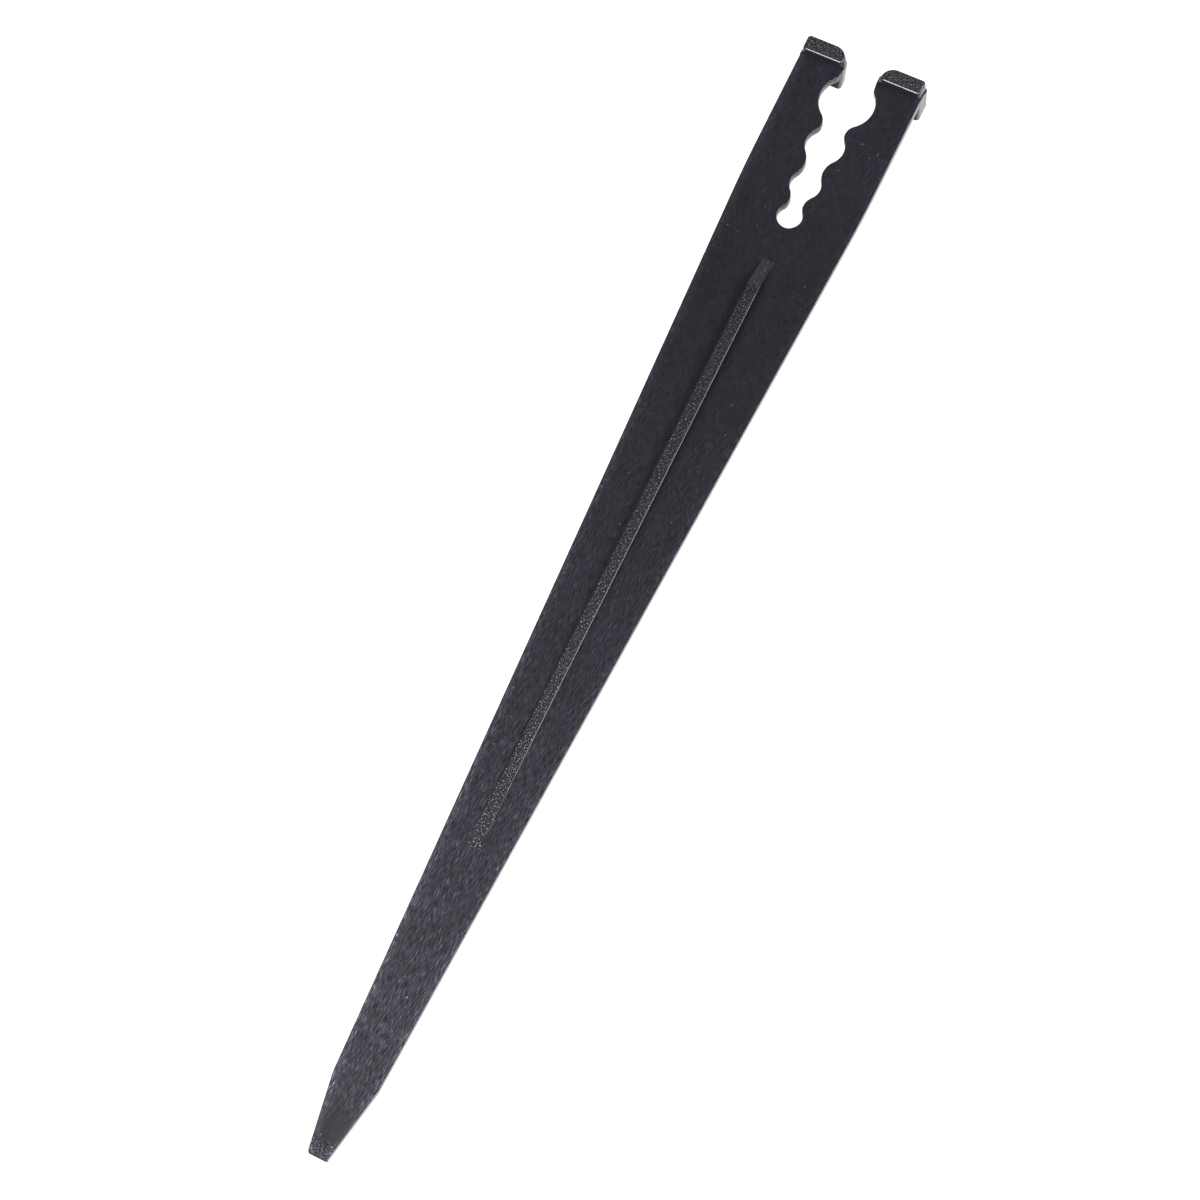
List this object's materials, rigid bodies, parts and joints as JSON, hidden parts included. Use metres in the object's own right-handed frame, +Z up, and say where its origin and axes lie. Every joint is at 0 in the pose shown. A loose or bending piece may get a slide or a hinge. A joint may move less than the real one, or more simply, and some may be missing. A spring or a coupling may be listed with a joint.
{
  "type": "garden tubing stake",
  "caption": "Flat tapered plastic ground stake whose forked head has a slot of round seats, large to small, that grip thin irrigation tubing.",
  "frame": {"origin": "under the middle of the stake, level with the backs of the two prong heads that it lies on", "axes": "+X across the blade, +Y along the stake from the point to the prongs, +Z up out of the front face"},
  "size_m": [0.0146, 0.148, 0.0055],
  "materials": {
    "black_plastic": "satin moulded black plastic, spark-textured on the raised rib and prong heads, fine lengthwise brushing on the blade"
  },
  "bodies": {
    "root": {"tubing_stake": "black_plastic"}
  },
  "joints": []
}
